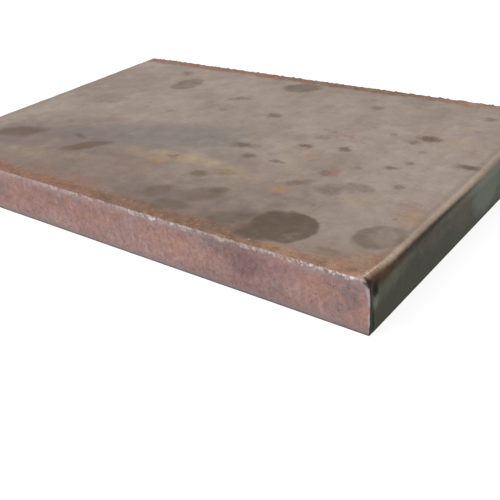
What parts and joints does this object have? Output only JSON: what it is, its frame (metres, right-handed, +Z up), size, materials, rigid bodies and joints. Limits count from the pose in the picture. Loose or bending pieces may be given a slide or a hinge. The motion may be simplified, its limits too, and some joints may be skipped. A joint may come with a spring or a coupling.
{
  "type": "steel plate",
  "caption": "Rectangular hot-rolled steel plate, lying flat, with crowned mill edges, rounded arrises, flame-cut ends and mill scale with rust.",
  "frame": {"origin": "middle of the underside, where the plate rests on a level surface", "axes": "+X from the far mill edge to the near one, along the plate's longest side; +Y from the pictured cut end to the far cut end; +Z up, through the thickness"},
  "size_m": [0.3, 0.2, 0.025],
  "materials": {
    "mill_scale_steel": "hot-rolled mill scale, stained and lightly rusted, half gloss"
  },
  "bodies": {
    "root": {"steel_plate": "mill_scale_steel"}
  },
  "joints": []
}
